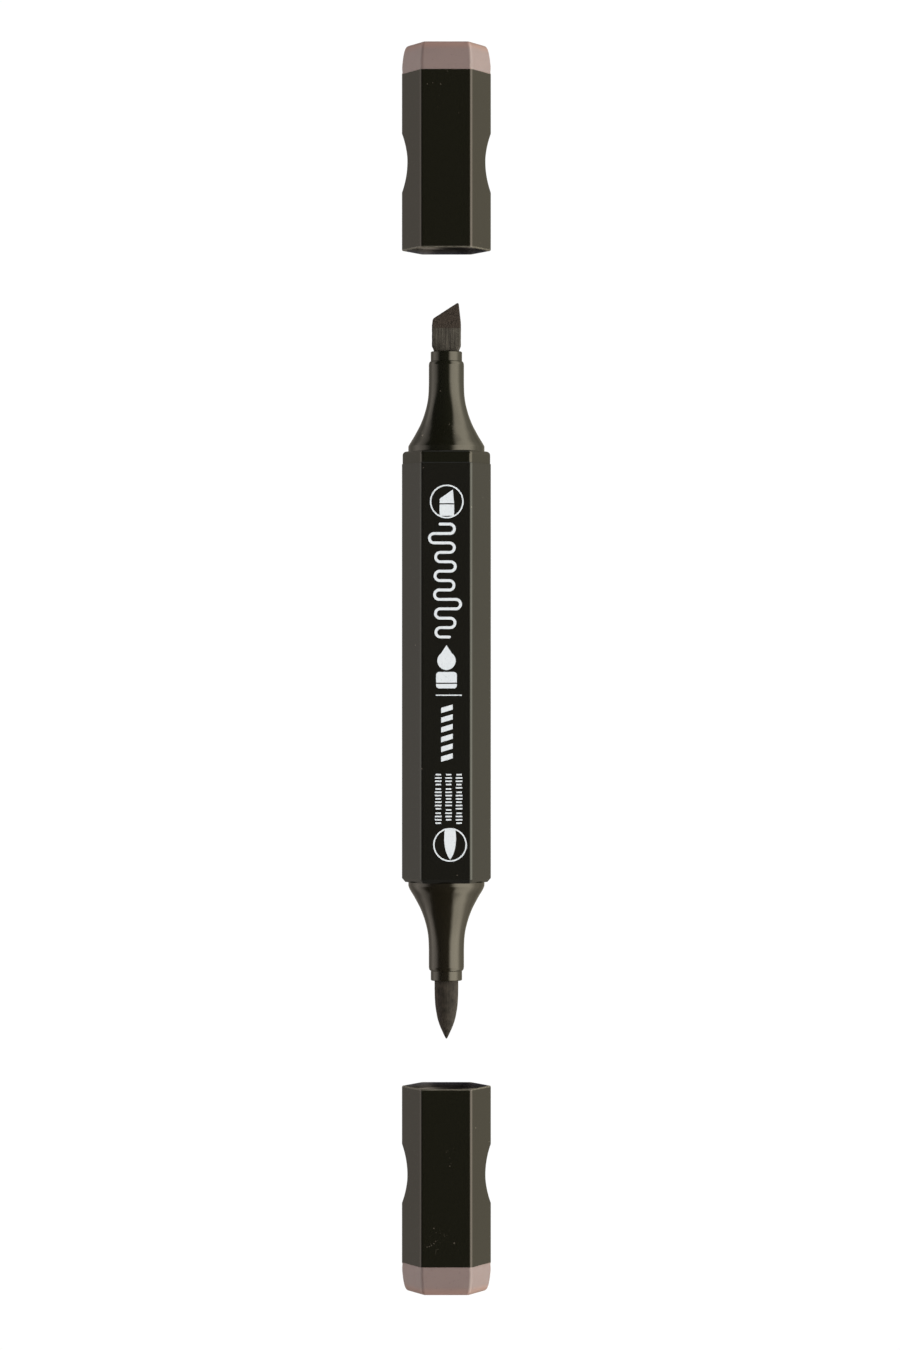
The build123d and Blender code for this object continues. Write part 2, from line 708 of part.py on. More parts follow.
with BuildPart() as slanted_bars:
    with BuildSketch(FRONT):
        for k in range(BAR_COUNT):
            top = BAR_TOP - BAR_PITCH * k
            with BuildLine():
                Polyline(
                    (BAR_LEFT, top - BAR_RISE),
                    (BAR_LEFT, top - BAR_RISE - BAR_H),
                    (BAR_RIGHT, top - BAR_H),
                    (BAR_RIGHT, top),
                    close=True,
                )
            make_face()
    extrude(amount=INK)
save(slanted_bars.part, "slanted_bars")

# ---------------------------------------------------------------- columns of fine ticks
# x of the column, ticks in each group from the top
TICK_COLUMNS = [(-1.55, (4, 7, 4)), (0.28, (4, 6, 4)), (2.12, (5, 6, 4))]
TICK_TOP = 91.95
TICK_PITCH = 0.582
TICK_GROUP_GAP = 0.20
TICK_H = 0.26
TICK_W = 1.16
TICK_SHORT_W = 0.96  # every third tick, starting with the first of its group

with BuildPart() as tick_columns:
    with BuildSketch(FRONT):
        for x, groups in TICK_COLUMNS:
            z = TICK_TOP
            for group in groups:
                for k in range(group):
                    with Locations((x, z)):
                        Rectangle(TICK_W if k % 3 else TICK_SHORT_W, TICK_H)
                    z -= TICK_PITCH
                z -= TICK_GROUP_GAP
    extrude(amount=INK)
save(tick_columns.part, "tick_columns")
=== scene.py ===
"""A double-ended marker, standing upright with its axis on +Z and both caps drawn off.

The brush nib points down and the chisel nib points up. The camera is on the -Y side and looks
along +Y, so +X is its right. Materials, lights and the camera are in metres; the soft pieces
(nibs and ink reservoir) are worked out in millimetres.
"""
import functools
import json
import math
import random

import bmesh
import bpy
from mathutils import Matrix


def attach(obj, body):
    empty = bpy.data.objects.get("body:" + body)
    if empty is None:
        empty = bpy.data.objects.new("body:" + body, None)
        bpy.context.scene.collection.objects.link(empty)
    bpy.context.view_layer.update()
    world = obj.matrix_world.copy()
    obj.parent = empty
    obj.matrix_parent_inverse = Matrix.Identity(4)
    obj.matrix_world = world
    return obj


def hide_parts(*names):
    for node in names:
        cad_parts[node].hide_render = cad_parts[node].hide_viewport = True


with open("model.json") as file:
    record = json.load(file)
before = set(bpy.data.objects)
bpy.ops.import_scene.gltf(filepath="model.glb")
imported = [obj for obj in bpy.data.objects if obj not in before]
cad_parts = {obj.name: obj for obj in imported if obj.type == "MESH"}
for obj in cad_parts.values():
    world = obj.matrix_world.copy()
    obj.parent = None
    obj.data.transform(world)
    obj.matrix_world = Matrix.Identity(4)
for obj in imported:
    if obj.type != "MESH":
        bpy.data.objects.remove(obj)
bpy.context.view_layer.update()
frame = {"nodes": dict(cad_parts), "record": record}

scene = bpy.context.scene
random.seed(11)

MM = 0.001
MARKER_LENGTH = 0.22145  # over both caps, as they lie
CAP_LENGTH = 0.03645
CAP_MOUTHS = (CAP_LENGTH, MARKER_LENGTH - CAP_LENGTH)  # z of the open ends
WHITE_LEVEL = 1.02  # floor and backdrop, as the camera sees them


def place(name, data):
    """A new object in the scene."""
    obj = bpy.data.objects.new(name, data)
    scene.collection.objects.link(obj)
    return obj


# ------------------------------------------------------------------ node helpers
class NodeNet:
    """Builds the node tree of a material or world. An input may be a value or a socket."""

    def __init__(self, owner):
        owner.use_nodes = True
        self.tree = owner.node_tree
        self.tree.nodes.clear()
        self.x = 0

    def feed(self, node, inputs):
        for key, value in inputs.items():
            if isinstance(value, bpy.types.NodeSocket):
                self.tree.links.new(value, node.inputs[key])
            else:
                node.inputs[key].default_value = value

    def new(self, kind, inputs=None, **settings):
        node = self.tree.nodes.new(kind)
        node.location = (self.x, 0)
        self.x += 180
        for key, value in settings.items():
            setattr(node, key, value)
        self.feed(node, inputs or {})
        return node

    def calc(self, operation, *values, clamp=False):
        inputs = dict(enumerate(values))
        node = self.new("ShaderNodeMath", inputs, operation=operation, use_clamp=clamp)
        return node.outputs[0]

    def plus(self, a, b, clamp=False):
        return self.calc("ADD", a, b, clamp=clamp)

    def minus(self, a, b):
        return self.calc("SUBTRACT", a, b)

    def times(self, a, b):
        return self.calc("MULTIPLY", a, b)

    def over(self, a, b):
        return self.calc("DIVIDE", a, b)

    def fold(self, operation, sockets):
        """Join any number of sockets, two at a time."""
        return functools.reduce(lambda a, b: self.calc(operation, a, b), sockets)

    def vector(self, operation, *values, output="Vector"):
        inputs = dict(enumerate(values))
        return self.new("ShaderNodeVectorMath", inputs, operation=operation).outputs[output]

    def z_of(self, vector):
        return self.new("ShaderNodeSeparateXYZ", {"Vector": vector}).outputs["Z"]

    def warp(self, vector, scale, rotation=(0.0, 0.0, 0.0)):
        inputs = {"Vector": vector, "Rotation": rotation, "Scale": scale}
        return self.new("ShaderNodeMapping", inputs).outputs[0]

    def ramp(self, factor, stops, interpolation="LINEAR"):
        """Stops are (position, grey level or colour)."""
        node = self.new("ShaderNodeValToRGB", {0: factor})
        node.color_ramp.interpolation = interpolation
        elements = node.color_ramp.elements
        while len(elements) > 1:
            elements.remove(elements[-1])
        for i, (position, value) in enumerate(stops):
            element = elements[0] if i == 0 else elements.new(position)
            element.position = position
            if isinstance(value, (int, float)):
                value = (value, value, value)
            element.color = (*value[:3], 1.0)
        return node.outputs[0]

    def noise(self, vector, scale, detail, roughness):
        inputs = {"Vector": vector, "Scale": scale, "Detail": detail, "Roughness": roughness}
        return self.new("ShaderNodeTexNoise", inputs).outputs["Fac"]

    def mix(self, factor, a, b, blend="MIX"):
        inputs = {0: factor, 6: a, 7: b}
        return self.new("ShaderNodeMix", inputs, data_type="RGBA", blend_type=blend).outputs[2]

    def bump(self, height, strength, distance, **more):
        inputs = {"Height": height, "Strength": strength, "Distance": distance, **more}
        return self.new("ShaderNodeBump", inputs).outputs[0]


def srgb(red, green, blue):
    """Linear colour of an 8-bit screen colour."""
    linear = []
    for value in (red, green, blue):
        c = value / 255.0
        linear.append(c / 12.92 if c <= 0.04045 else ((c + 0.055) / 1.055) ** 2.4)
    return (*linear, 1.0)


def start_material(name):
    """A material with a Principled surface; also its node net and the object position."""
    material = bpy.data.materials.new(name)
    net = NodeNet(material)
    output = net.new("ShaderNodeOutputMaterial")
    surface = net.new("ShaderNodeBsdfPrincipled")
    net.feed(output, {0: surface.outputs[0]})
    pos = net.new("ShaderNodeTexCoord").outputs["Object"]
    return material, net, surface, pos


# ------------------------------------------------------------------ black plastic
SCRATCH = 0.035  # roughness the scratches add, and the strength of their relief


def specks(net, pos, scale, size, chance_scale, chance):
    """Sparse round specks: 1 on a speck. chance is the noise range over which they appear."""
    inputs = {"Vector": pos, "Scale": scale, "Randomness": 1.0}
    cell = net.new("ShaderNodeTexVoronoi", inputs, feature="F1")
    spot = net.ramp(cell.outputs["Distance"], [(0.0, 1.0), (size, 1.0), (size * 1.35, 0.0)])
    patches = net.noise(pos, scale=chance_scale, detail=1.0, roughness=0.5)
    return net.times(spot, net.ramp(patches, [(chance[0], 0.0), (chance[1], 1.0)]))


def near(net, pos, centre, radius):
    """1 close to a point on the marker, fading to 0 at radius."""
    gap = net.vector("DISTANCE", pos, centre, output="Value")
    return net.ramp(net.over(gap, radius), [(0.45, 1.0), (1.0, 0.0)], "EASE")


def dust_cover(net, pos, dust, dusty_spots, lint):
    """Sparse dust all over, closer specks and fibres in dusty_spots, and single bits of lint."""
    cover = net.times(
        specks(net, pos, scale=420.0, size=0.045, chance_scale=330.0, chance=(0.60, 0.66)), dust
    )
    if dusty_spots:
        close = net.fold("MAXIMUM", (near(net, pos, *spot) for spot in dusty_spots))
        fine = specks(
            net, pos, scale=1500.0, size=0.10, chance_scale=900.0, chance=(0.42, 0.55)
        )
        fibre_pos = net.warp(pos, rotation=(0.0, 0.9, 0.0), scale=(1.0, 1.0, 0.25))
        fibres = net.ramp(
            net.noise(fibre_pos, scale=2400.0, detail=2.0, roughness=0.5),
            [(0.66, 0.0), (0.70, 1.0)],
        )
        extra = net.plus(fine, net.times(fibres, 0.6), clamp=True)
        cover = net.plus(cover, net.times(net.times(extra, close), 0.22), clamp=True)
    for centre, radius, strength in lint:
        bit = net.times(near(net, pos, centre, radius), strength)
        cover = net.calc("MAXIMUM", cover, bit)
    return cover


def shade_and_wear_mouths(net, pos, tone, rough):
    """Rougher bore with painted light near the mouth and painted shade deeper in, and a scuffed
    rim with a painted highlight, at the cap mouths; gives the new tone and roughness.
    """
    # faces that look back at the axis are the bore
    geometry = net.new("ShaderNodeNewGeometry")
    outward = net.vector("NORMALIZE", net.vector("MULTIPLY", pos, (1.0, 1.0, 0.0)))
    facing = net.vector("DOT_PRODUCT", outward, geometry.outputs["True Normal"], output="Value")
    bore = net.ramp(net.plus(net.times(facing, -0.5), 0.5), [(0.60, 0.0), (0.68, 1.0)])
    depth = net.fold(
        "MINIMUM", (net.calc("ABSOLUTE", net.minus(net.z_of(pos), z)) for z in CAP_MOUTHS)
    )
    # painted light and shade: the bore is painted paler just inside the mouth and darker deeper
    # in
    bore_painted_light = net.ramp(
        net.over(depth, 0.002),
        [(0.0, srgb(46, 48, 58)), (0.30, srgb(34, 33, 33)), (0.75, srgb(14, 13, 8))],
    )
    tone = net.mix(bore, tone, bore_painted_light)
    rough = net.plus(rough, net.times(bore, 0.22), clamp=True)
    # the rounded rim is made rougher by scuffing, and painted lighter as a painted highlight
    # along it
    rim = net.ramp(net.over(depth, 0.0005), [(0.0, 1.0), (0.36, 0.85), (0.56, 0.0)])
    patches = net.noise(pos, scale=1100.0, detail=3.0, roughness=0.6)
    patches = net.ramp(patches, [(0.30, 0.55), (0.60, 1.0)])
    rim_scuff_and_highlight = net.times(net.times(rim, patches), net.minus(1.0, bore))
    tone = net.mix(rim_scuff_and_highlight, tone, srgb(84, 82, 74))
    rough = net.plus(rough, net.times(rim_scuff_and_highlight, 0.20), clamp=True)
    return tone, rough


def black_plastic(
    name,
    colour,
    rough,
    dust=0.25,
    dusty_spots=(),
    lint=(),
    polish=(1.0, 1.0, 1.0),
    gloss=0.5,
    has_mouths=False,
):
    """Injection-moulded near-black plastic with handling scratches, slight waviness and dust.
    polish tints the highlights and gloss sets their level."""
    material, net, surface, pos = start_material(name)
    # long faint scratches that run along the marker, and shorter ones across
    along = net.warp(pos, scale=(1.0, 1.0, 0.12))
    along = net.noise(along, scale=5200.0, detail=4.0, roughness=0.6)
    along = net.ramp(along, [(0.60, 0.0), (0.68, 1.0)])
    across = net.warp(pos, rotation=(0.3, 0.5, 0.2), scale=(1.0, 0.2, 1.0))
    across = net.noise(across, scale=3100.0, detail=3.0, roughness=0.6)
    across = net.ramp(across, [(0.66, 0.0), (0.72, 1.0)])
    scratches = net.plus(along, across, clamp=True)
    cloud = net.noise(pos, scale=160.0, detail=4.0, roughness=0.6)
    uneven = net.plus(net.times(net.minus(cloud, 0.5), 0.08), net.times(scratches, SCRATCH))
    rough = net.plus(rough, uneven, clamp=True)
    cover = dust_cover(net, pos, dust, dusty_spots, lint)
    darker = (*(channel * 0.72 for channel in colour[:3]), 1.0)
    tone = net.mix(net.times(cloud, 0.5), colour, darker)
    # the cap mouths get painted light and shade in the bore and a painted highlight on the rim
    if has_mouths:
        tone, rough = shade_and_wear_mouths(net, pos, tone, rough)
    tone = net.mix(cover, tone, srgb(120, 114, 104))
    # moulding waviness, then scratch relief
    waves = net.noise(pos, scale=70.0, detail=2.0, roughness=0.4)
    waves = net.bump(waves, strength=0.06, distance=0.00025)
    relief = net.bump(
        net.times(scratches, -1.0), strength=SCRATCH, distance=0.00002, Normal=waves
    )
    net.feed(surface, {
        "Roughness": rough,
        "Base Color": tone,
        "IOR": 1.50,
        "Specular IOR Level": gloss,
        "Specular Tint": (*polish, 1.0),
        "Normal": relief,
    })
    return material


# ------------------------------------------------------------------ other materials
def end_plug_plastic():
    """Dusty pink-brown moulded plastic, with a painted highlight: a warmer tone where the end
    rounds over.
    """
    material, net, surface, pos = start_material("end_plug_plastic")
    z = net.z_of(pos)
    from_end = net.calc("MINIMUM", z, net.minus(MARKER_LENGTH, z))
    # painted light: the end is tinted warmer where it rounds over
    end_painted_light = net.ramp(net.over(from_end, 0.0020), [(0.25, 1.0), (0.80, 0.0)], "EASE")
    cloud = net.noise(pos, scale=240.0, detail=4.0, roughness=0.55)
    tone = net.mix(cloud, srgb(116, 102, 100), srgb(108, 95, 94))
    flecks = net.noise(pos, scale=2600.0, detail=2.0, roughness=0.5)
    flecks = net.ramp(flecks, [(0.30, 0.0), (0.36, 1.0)])
    tone = net.mix(flecks, srgb(104, 91, 90), tone)
    tone = net.mix(net.times(end_painted_light, 0.35), tone, srgb(140, 104, 91))
    rough = net.plus(0.34, net.times(cloud, 0.12))
    grain = net.noise(pos, scale=1900.0, detail=4.0, roughness=0.6)
    grain = net.bump(grain, strength=0.10, distance=0.00004)
    # the flat end is moulded matt
    normal = net.new("ShaderNodeNewGeometry").outputs["Normal"]
    upright = net.calc("ABSOLUTE", net.z_of(normal))
    net.feed(surface, {
        "Base Color": tone,
        "Roughness": rough,
        "Normal": grain,
        "Specular IOR Level": net.ramp(upright, [(0.94, 0.50), (0.99, 0.06)]),
        "Subsurface Weight": 0.08,
        "Subsurface Radius": (0.0008, 0.0005, 0.0004),
    })
    return material


def white_print():
    """Pad-printed white: slightly uneven cover over the black plastic."""
    material, net, surface, pos = start_material("white_print")
    pinholes = net.noise(pos, scale=5200.0, detail=3.0, roughness=0.6)
    cover = net.ramp(pinholes, [(0.26, 0.0), (0.42, 1.0)])
    patches = net.noise(pos, scale=700.0, detail=2.0, roughness=0.5)
    white = net.mix(patches, srgb(186, 194, 202), srgb(196, 203, 208))
    tone = net.mix(cover, srgb(150, 158, 170), white)
    net.feed(surface, {"Base Color": tone, "Roughness": 0.55})
    return material


def felt(name, dark, light, scale_z, streak, cut_above=None, cut=None):
    """Bonded fibre soaked in dark ink. streak is the share of lengthwise grain. Above cut_above
    the fibre is ground to a bevel and its ends lie open, so it has no lengthwise grain and takes
    the two cut tones."""
    material, net, surface, pos = start_material(name)
    fibres = net.warp(pos, scale=(1.0, 1.0, scale_z))
    fibres = net.noise(fibres, scale=2600.0, detail=5.0, roughness=0.65)
    clumps = net.noise(pos, scale=900.0, detail=3.0, roughness=0.6)
    height = net.plus(net.times(fibres, streak), net.times(clumps, 1.0 - streak))
    tone = net.ramp(height, [(0.34, dark), (0.66, light)])
    if cut_above is not None:
        # a ragged line, blended over a millimetre
        edge = net.plus(net.z_of(pos), net.times(net.minus(fibres, 0.5), 0.0002))
        above = net.over(net.minus(edge, cut_above - 0.0005), 0.001)
        above = net.ramp(above, [(0.42, 0.0), (0.58, 1.0)])
        pores = net.noise(pos, scale=4200.0, detail=3.0, roughness=0.6)
        ground = net.ramp(pores, [(0.34, cut[0]), (0.64, cut[1])])
        tone = net.mix(above, tone, ground)
        height = net.new("ShaderNodeMix", {0: above, 2: height, 3: pores}).outputs[0]
    net.feed(surface, {
        "Base Color": tone,
        "Roughness": 0.90,
        "Sheen Weight": 0.15,
        "Sheen Roughness": 0.5,
        "Sheen Tint": srgb(150, 138, 128),
        "Specular IOR Level": 0.25,
        "Normal": net.bump(height, strength=0.7, distance=0.00006),
    })
    return material


def clear_film():
    """Clear film, faintly clouded."""
    material, net, surface, pos = start_material("clear_film")
    cloud = net.noise(pos, scale=300.0, detail=2.0, roughness=0.5)
    tone = net.ramp(cloud, [(0.2, srgb(196, 190, 182)), (0.8, srgb(216, 211, 204))])
    net.feed(surface, {"Base Color": tone, "Roughness": 0.18, "Transmission Weight": 0.6})
    return material


def seal_plastic():
    """Pale plastic with patches of ink stain."""
    material, net, surface, pos = start_material("seal_plastic")
    cloud = net.noise(pos, scale=500.0, detail=3.0, roughness=0.5)
    tone = net.mix(cloud, srgb(176, 170, 160), srgb(196, 191, 182))
    ink = net.noise(pos, scale=260.0, detail=3.0, roughness=0.6)
    ink = net.ramp(ink, [(0.55, 0.0), (0.75, 0.5)])
    net.feed(surface, {
        "Base Color": net.mix(ink, tone, srgb(92, 80, 74)),
        "Roughness": 0.42,
        "Subsurface Weight": 0.2,
        "Subsurface Radius": (0.0012, 0.001, 0.0008),
    })
    return material


# dusty spots: centre, radius
HOLDER_DUST = (
    ((0.0002, -0.0045, 0.1528), 0.0026),
    ((-0.0045, -0.0030, 0.1520), 0.0016),
)
CAP_DUST = (
    ((-0.0012, -0.00715, 0.0098), 0.0032),
    ((-0.0012, -0.00715, 0.2105), 0.0020),
    ((0.0010, -0.00715, 0.0245), 0.0018),
)
# bits of lint: centre, radius, strength
BARREL_LINT = (((0.0019, -0.00718, 0.0742), 0.00016, 0.25),)
HOLDER_LINT = (
    ((-0.0042, -0.0038, 0.15195), 0.00026, 0.60),
    ((-0.0012, -0.0035, 0.15510), 0.00016, 0.25),
)
CAP_LINT = (
    ((-0.0022, -0.00715, 0.0119), 0.00017, 0.25),
    ((0.0052, -0.00568, 0.0295), 0.00016, 0.50),
    ((0.0014, -0.00715, 0.0093), 0.00022, 0.25),
    ((-0.0034, -0.00715, 0.0086), 0.00014, 0.25),
    ((-0.0030, -0.00715, 0.0087), 0.00014, 0.25),
    ((-0.0026, -0.00715, 0.0089), 0.00014, 0.25),
    ((-0.0022, -0.00715, 0.0092), 0.00014, 0.25),
    ((-0.0019, -0.00715, 0.0096), 0.00013, 0.25),
    ((-0.0024, -0.00715, 0.2140), 0.00010, 0.25),
    ((-0.0010, -0.00715, 0.2138), 0.00013, 0.25),
)

materials = {
    "barrel_plastic": black_plastic(
        "barrel_plastic",
        srgb(20, 20, 17),
        rough=0.18,
        dust=0.5,
        lint=BARREL_LINT,
        polish=(0.865, 0.94, 1.0),
        gloss=0.55,
    ),
    "holder_plastic": black_plastic(
        "holder_plastic",
        srgb(19, 20, 14),
        rough=0.10,
        dusty_spots=HOLDER_DUST,
        lint=HOLDER_LINT,
    ),
    "brush_holder_plastic": black_plastic(
        "brush_holder_plastic", srgb(26, 24, 18), rough=0.11, gloss=0.56
    ),
    "cap_plastic": black_plastic(
        "cap_plastic",
        srgb(19, 20, 13),
        rough=0.17,
        dusty_spots=CAP_DUST,
        lint=CAP_LINT,
        polish=(1.0, 0.945, 0.99),
        gloss=0.515,
        has_mouths=True,
    ),
    "end_plug_plastic": end_plug_plastic(),
    "white_print": white_print(),
    "chisel_felt": felt(
        "chisel_felt",
        dark=srgb(30, 28, 25),
        light=srgb(72, 69, 62),
        scale_z=0.07,
        streak=0.82,
        cut_above=0.17118,
        cut=(srgb(28, 23, 19), srgb(56, 49, 43)),
    ),
    "brush_felt": felt(
        "brush_felt", dark=srgb(24, 22, 19), light=srgb(50, 45, 39), scale_z=0.25, streak=0.45
    ),
    "reservoir_fibre": felt(
        "reservoir_fibre",
        dark=srgb(60, 50, 46),
        light=srgb(104, 92, 85),
        scale_z=0.05,
        streak=0.8,
    ),
    "clear_film": clear_film(),
    "seal_plastic": seal_plastic(),
}

# The CAD pieces keep their own normals, which follow the exact surfaces.
slots = {part["node"]: part["material_slot"] for part in frame["record"]["subparts"]}
for obj in frame["nodes"].values():
    look = "brush_holder_plastic" if obj.name == "brush_nib_holder" else slots[obj.name]
    obj.data.materials.clear()
    obj.data.materials.append(materials[look])


# ------------------------------------------------------------------ soft pieces (millimetres)
def skin(name, rings, piece, look):
    """One closed skin through rings of equal point count, in place of a CAD piece."""
    bm = bmesh.new()
    rows = [[bm.verts.new((x * MM, y * MM, z * MM)) for x, y, z in ring] for ring in rings]
    count = len(rings[0])
    for low, high in zip(rows, rows[1:]):
        for i in range(count):
            j = (i + 1) % count
            bm.faces.new((low[i], low[j], high[j], high[i]))
    for row, flip in ((rows[0], True), (rows[-1], False)):
        centre = bm.verts.new([sum(vert.co[axis] for vert in row) / count for axis in range(3)])
        for i in range(count):
            j = (i + 1) % count
            bm.faces.new((row[j], row[i], centre) if flip else (row[i], row[j], centre))
    bmesh.ops.recalc_face_normals(bm, faces=bm.faces)
    mesh = bpy.data.meshes.new(name)
    bm.to_mesh(mesh)
    bm.free()
    for face in mesh.polygons:
        face.use_smooth = True
    mesh.materials.append(materials[look])
    obj = place(name, mesh)
    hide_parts(piece)
    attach(obj, "barrel_body")


def rounded_rectangle(count, half_x, half_y, corner):
    """Evenly spaced (x, y, normal x, normal y) round a rounded rectangle, anticlockwise."""
    flat_x, flat_y = half_x - corner, half_y - corner
    # each corner's centre, the angle its arc starts at, and the straight that follows it
    sides = (
        (flat_x, flat_y, 0, 2 * flat_x),
        (-flat_x, flat_y, 90, 2 * flat_y),
        (-flat_x, -flat_y, 180, 2 * flat_x),
        (flat_x, -flat_y, 270, 2 * flat_y),
    )
    arc = math.pi * corner / 2
    total = 4 * arc + 4 * flat_x + 4 * flat_y
    points = []
    for i in range(count):
        travel = total * i / count
        for centre_x, centre_y, start, straight in sides:
            if travel < arc + straight:
                angle = math.radians(start) + min(travel / corner, math.pi / 2)
                run = max(travel - arc, 0.0)
                nx, ny = math.cos(angle), math.sin(angle)
                x = centre_x + corner * nx - ny * run
                y = centre_y + corner * ny + nx * run
                points.append((x, y, nx, ny))
                break
            travel -= arc + straight
    return points


def polar(radius, i, count, z):
    """Point i of count on a circle round the axis."""
    angle = 2 * math.pi * i / count
    return (radius * math.cos(angle), radius * math.sin(angle), z)


def piecewise(x, table):
    """Straight-line lookup in (x, value) rows, held level beyond both ends."""
    if x <= table[0][0]:
        return table[0][1]
    for (x0, y0), (x1, y1) in zip(table, table[1:]):
        if x <= x1:
            return y0 + (y1 - y0) * (x - x0) / (x1 - x0)
    return table[-1][1]


def smooth(t):
    t = max(0.0, min(1.0, t))
    return t * t * (3 - 2 * t)


def levels_after(low, high, count):
    """Even levels from low to high, without low itself."""
    return [low + (high - low) * k / count for k in range(1, count + 1)]


def grooves(count, seed, pitch):
    """Depth of lengthwise fibre grooves round a section, 0 to 1; pitch is in points."""
    rng = random.Random(seed)
    values = [0.0] * count
    start = 0.0
    while start < count - pitch * 0.6:
        width = pitch * rng.uniform(0.6, 1.5)
        depth = rng.uniform(0.35, 1.0)
        for i in range(int(start), min(count, int(start + width) + 1)):
            t = (i - start) / width
            if 0 <= t <= 1:
                values[i] = max(values[i], depth * math.sin(math.pi * t) ** 1.5)
        start += width
    return values


SEAT_OFFSET = 16.87  # from each end's base level out to its nib seat
CHISEL_SEAT = 150.20 + SEAT_OFFSET
BRUSH_SEAT = 72.05 - SEAT_OFFSET

# chisel nib
HEAD_HALF_X, HEAD_HALF_Y = 2.60, 1.50
BEVEL = 171.12  # z where the head starts to thin
STEM_ROUNDED = 141.90  # z where the stem's rounded foot ends
STEM_FOOT = ((141.60, 0.25), (141.68, 0.08), (STEM_ROUNDED, 0.0))  # z, inset
NECK_START, NECK_LENGTH = CHISEL_SEAT + 0.05, 0.95  # swell from stem to head
HEAD_GROOVE, STEM_GROOVE = 0.035, 0.02  # deepest fibre groove
# z, x of the head's left (-X) and right (+X) edges
LEFT_EDGE = [
    (CHISEL_SEAT, -2.22), (CHISEL_SEAT + 1.0, -2.58), (CHISEL_SEAT + 4.6, -2.58),
    (172.72, -2.44), (173.06, -2.14),
]
RIGHT_EDGE = [
    (CHISEL_SEAT, 2.24), (CHISEL_SEAT + 1.0, 2.58), (CHISEL_SEAT + 4.6, 2.60),
    (CHISEL_SEAT + 5.3, 2.56), (175.62, 2.20),
]
# x, z of the slanted writing edge
TOP_EDGE = [
    (-2.60, 172.50), (-2.44, 172.72), (-2.30, 172.92), (-2.14, 173.06),
    (1.80, 175.64), (2.02, 175.70), (2.20, 175.60), (2.30, 175.45),
]
HALF_THICKNESS = [(BEVEL, HEAD_HALF_Y), (176.30, 0.62)]  # z, half size along Y


def chisel_nib():
    count = 360
    head = rounded_rectangle(count, HEAD_HALF_X, HEAD_HALF_Y, corner=0.30)
    stem = rounded_rectangle(count, half_x=2.20, half_y=1.20, corner=0.48)
    ridge = grooves(count, seed=5, pitch=8.0)

    def head_point(i, z, shrink=0.0, relief=1.0):
        x, y, nx, ny = head[i]
        left, right = piecewise(z, LEFT_EDGE), piecewise(z, RIGHT_EDGE)
        across = (x + HEAD_HALF_X) / (2 * HEAD_HALF_X)
        inset = shrink + HEAD_GROOVE * relief * ridge[i]
        return (
            left + (right - left) * across - nx * inset,
            y / HEAD_HALF_Y * piecewise(z, HALF_THICKNESS) - ny * inset,
        )

    rings = [[(x - nx * inset, y - ny * inset, z) for x, y, nx, ny in stem]
             for z, inset in STEM_FOOT]
    for z in levels_after(STEM_ROUNDED, CHISEL_SEAT + 0.02, 20):
        rings.append([
            (x - nx * STEM_GROOVE * depth, y - ny * STEM_GROOVE * depth, z)
            for (x, y, nx, ny), depth in zip(stem, ridge)
        ])
    # swell from the stem to the head
    for k in range(7):
        z = NECK_START + NECK_LENGTH * k / 6
        blend = 0.62 + 0.38 * smooth(k / 6)
        ring = []
        for i in range(count):
            head_x, head_y = head_point(i, z)
            x, y = stem[i][:2]
            ring.append((x + (head_x - x) * blend, y + (head_y - y) * blend, z))
        rings.append(ring)
    # body of the head below the bevel, with a slight wander in its size
    for z in levels_after(CHISEL_SEAT + 1.05, BEVEL - 0.04, 16):
        wander = 0.012 * math.sin(z * 5.1)
        rings.append([(*head_point(i, z, wander), z) for i in range(count)])
    # up to the slanted writing edge; each point's height depends on its x, so it is iterated
    steps = 26
    for k in range(steps + 1):
        rise = k / steps
        relief = 1.0 - 0.75 * smooth(rise * 6)
        ring = []
        for i in range(count):
            x = head[i][0] / HEAD_HALF_X * 2.4
            for _ in range(6):
                z = BEVEL + 0.02 + rise * (piecewise(x, TOP_EDGE) - 0.07 - BEVEL)
                x, y = head_point(i, z, relief=relief)
            ring.append((x, y, z))
        rings.append(ring)
    # round the rim over
    last = rings[-1]
    for inset, drop in ((0.03, 0.035), (0.08, 0.008), (0.16, 0.0)):
        ring = []
        for (x, y, _), (_, _, nx, ny) in zip(last, head):
            x, y = x - nx * inset, y - ny * inset
            ring.append((x, y, piecewise(x, TOP_EDGE) - drop))
        rings.append(ring)
    # close the cut face with an open, porous surface
    rim = rings[-1]
    rng = random.Random(3)
    for keep in (0.80, 0.55, 0.30, 0.10):
        ring = []
        for x, y, _ in rim:
            x *= 0.94 + 0.06 * keep
            ring.append((x, y * keep, piecewise(x, TOP_EDGE) - rng.uniform(0.0, 0.03)))
        rings.append(ring)
    skin("chisel_nib_felt", rings, "chisel_nib", "chisel_felt")


# brush nib: z, radius from the tip up to the end of the tail
BRUSH_OUTLINE = [
    (44.80, 0.012), (44.83, 0.09), (45.22, 0.310), (45.98, 0.670), (46.69, 0.995),
    (47.40, 1.270), (48.11, 1.505), (48.82, 1.675), (49.54, 1.805), (50.25, 1.920),
    (50.96, 2.000), (51.67, 2.045), (52.40, 2.085), (BRUSH_SEAT - 1.60, 2.11),
    (BRUSH_SEAT, 2.11), (79.80, 2.11), (80.40, 1.86),
]
BRUSH_STRAIGHT = BRUSH_SEAT - 1.7  # segments that end above this z are straight


